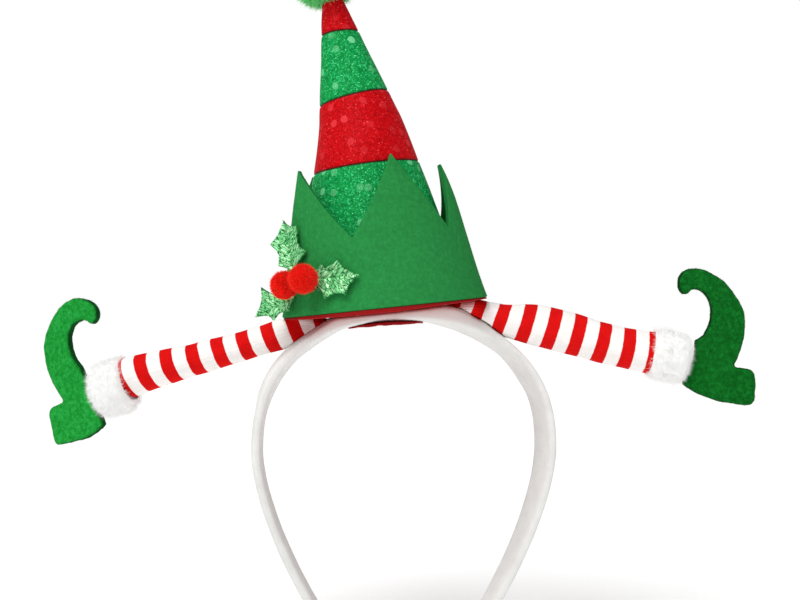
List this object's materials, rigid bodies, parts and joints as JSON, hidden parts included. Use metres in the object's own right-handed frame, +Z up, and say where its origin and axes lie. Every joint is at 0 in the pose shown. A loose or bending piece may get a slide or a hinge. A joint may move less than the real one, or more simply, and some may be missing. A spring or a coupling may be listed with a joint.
{
  "type": "elf legs headband",
  "caption": "Fabric-covered headband with a striped pointed hat, felt collar, holly sprig, pompom and stuffed striped legs ending in plush cuffs and curled felt shoes.",
  "frame": {"origin": "underside of the crown of the band, in the middle of its width, where the head sits", "axes": "+Z up, +X to the right of the band seen from its front, -Y to the front; the hat and legs are turned 7 degrees about Z from the band, as in the picture"},
  "size_m": [0.3271, 0.0944, 0.3275],
  "materials": {
    "band_fabric": "white brushed fabric wrapped over the band",
    "red_felt": "thin red felt",
    "green_glitter_cloth": "green cloth with glitter and pressed dots",
    "red_glitter_cloth": "red cloth with glitter and pressed dots",
    "collar_felt": "green felt",
    "leaf_foil": "embossed metallic green foil cloth",
    "berry_fluff": "red pompom fluff",
    "pompom_fluff": "light green pompom fluff",
    "striped_cloth": "red and white striped knit cloth over stuffing",
    "white_plush": "white plush",
    "shoe_felt": "thick green felt"
  },
  "bodies": {
    "root": {"alice_band": "band_fabric", "under_patch": "red_felt", "base_disc": "red_felt", "cone_green_lower": "green_glitter_cloth", "cone_red_lower": "red_glitter_cloth", "cone_green_upper": "green_glitter_cloth", "cone_red_tip": "red_glitter_cloth", "collar": "collar_felt", "holly_leaf_top": "leaf_foil", "holly_leaf_right": "leaf_foil", "holly_leaf_bottom": "leaf_foil", "berry_left": "berry_fluff", "berry_right": "berry_fluff", "tip_pompom": "pompom_fluff", "leg_left": "striped_cloth", "leg_right": "striped_cloth", "cuff_left": "white_plush", "cuff_right": "white_plush", "shoe_left": "shoe_felt", "shoe_right": "shoe_felt"}
  },
  "joints": []
}
